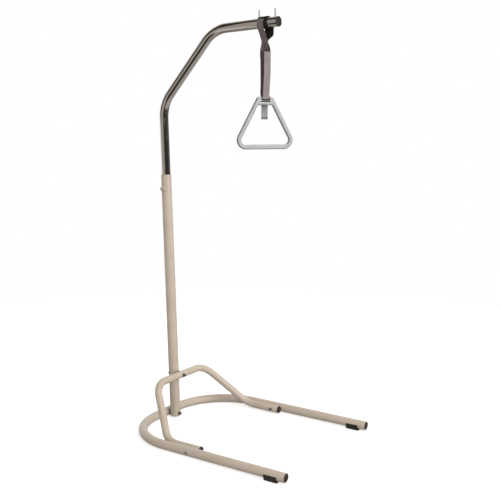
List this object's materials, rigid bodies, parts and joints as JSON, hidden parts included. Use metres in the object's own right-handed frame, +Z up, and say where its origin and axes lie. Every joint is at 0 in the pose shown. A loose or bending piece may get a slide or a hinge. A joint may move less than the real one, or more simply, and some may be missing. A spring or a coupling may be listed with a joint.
{
  "type": "bed trapeze",
  "caption": "Free-standing bed trapeze: bent tube floor frame with a raised brace, leaning mast, height-adjustable chromed gooseneck pole, webbing strap and triangular grab handle.",
  "frame": {"origin": "on the floor, in the middle of the rectangle that the whole trapeze covers", "axes": "+X from the mast towards the open ends of the floor legs (under the bed), +Y to the left of someone looking along +X, +Z up"},
  "size_m": [0.8668, 0.6986, 1.7681],
  "materials": {
    "cream_paint": "smooth satin powder coat",
    "chrome": "bright polished",
    "zinc": "dull zinc plate",
    "black_rubber": "matt",
    "black_plastic": "satin moulded",
    "light_plastic": "matt moulded",
    "dark_plastic": "matt moulded",
    "webbing": "woven",
    "grey_plastic": "fine moulded texture"
  },
  "bodies": {
    "stand": {"floor_frame": "cream_paint", "brace_tube": "cream_paint", "mast_tube": "cream_paint", "near_leg_plug": "black_plastic", "near_leg_pad": "black_rubber", "near_brace_plug": "black_plastic", "near_brace_bolt": "zinc", "near_brace_washer": "zinc", "near_brace_nut": "zinc", "far_leg_plug": "black_plastic", "far_leg_pad": "black_rubber", "far_brace_plug": "black_plastic", "far_brace_bolt": "zinc", "far_brace_washer": "zinc", "far_brace_nut": "zinc", "mast_foot_cap": "light_plastic", "mast_foot_saddle": "dark_plastic", "mast_brace_saddle": "dark_plastic", "mast_foot_bolt": "zinc", "mast_foot_washer": "zinc", "mast_foot_nut": "zinc", "mast_brace_bolt": "zinc", "mast_brace_washer": "zinc", "mast_brace_nut": "zinc", "lock_boss": "cream_paint"},
    "locking_screw": {"lock_screw": "zinc"},
    "glide": {"pole_glide": "dark_plastic"},
    "pole": {"pole_tube": "chrome", "arm_end_cap": "black_plastic", "arm_sleeve": "black_rubber", "inner_stop_pin": "zinc", "outer_stop_pin": "zinc"},
    "loop": {"strap_loop": "webbing"},
    "lap": {"strap_lap": "webbing"},
    "runs": {"strap_runs": "webbing"},
    "handle": {"handle_frame": "grey_plastic", "strap_tail": "webbing"}
  },
  "joints": [
    {"name": "lock_screw_turn", "type": "hinge", "parent": "stand", "child": "locking_screw", "pos_m": [-0.39619, -0.0225, 1.03852], "axis": [0, -1, 0], "range_deg": [0, 720]},
    {"name": "pole_height", "type": "slide", "parent": "stand", "child": "glide", "axis": [-0.0305, 0, 0.9995], "range_m": [-0.2, 0.15]},
    {"name": "pole_swivel", "type": "hinge", "parent": "glide", "child": "pole", "pos_m": [-0.38886, 0, 0.79863], "axis": [-0.0305, 0, 0.9995], "range_deg": [-90, 90]},
    {"name": "strap_swing", "type": "hinge", "parent": "pole", "child": "loop", "pos_m": [0.1181, 0, 1.71371], "axis": [0.9988, 0, 0.048], "range_deg": [-60, 60]},
    {"name": "strap_twist", "type": "hinge", "parent": "loop", "child": "lap", "pos_m": [0.1204, 0.00264, 1.60486], "axis": [0, 0, 1], "range_deg": [-60, 60]},
    {"name": "strap_sway", "type": "hinge", "parent": "lap", "child": "runs", "pos_m": [0.1181, 0, 1.56256], "axis": [0.6561, 0.7547, 0], "range_deg": [-40, 40]},
    {"name": "handle_tilt", "type": "hinge", "parent": "runs", "child": "handle", "pos_m": [0.1181, 0, 1.42321], "axis": [0.6561, 0.7547, 0], "range_deg": [-80, 80]}
  ]
}
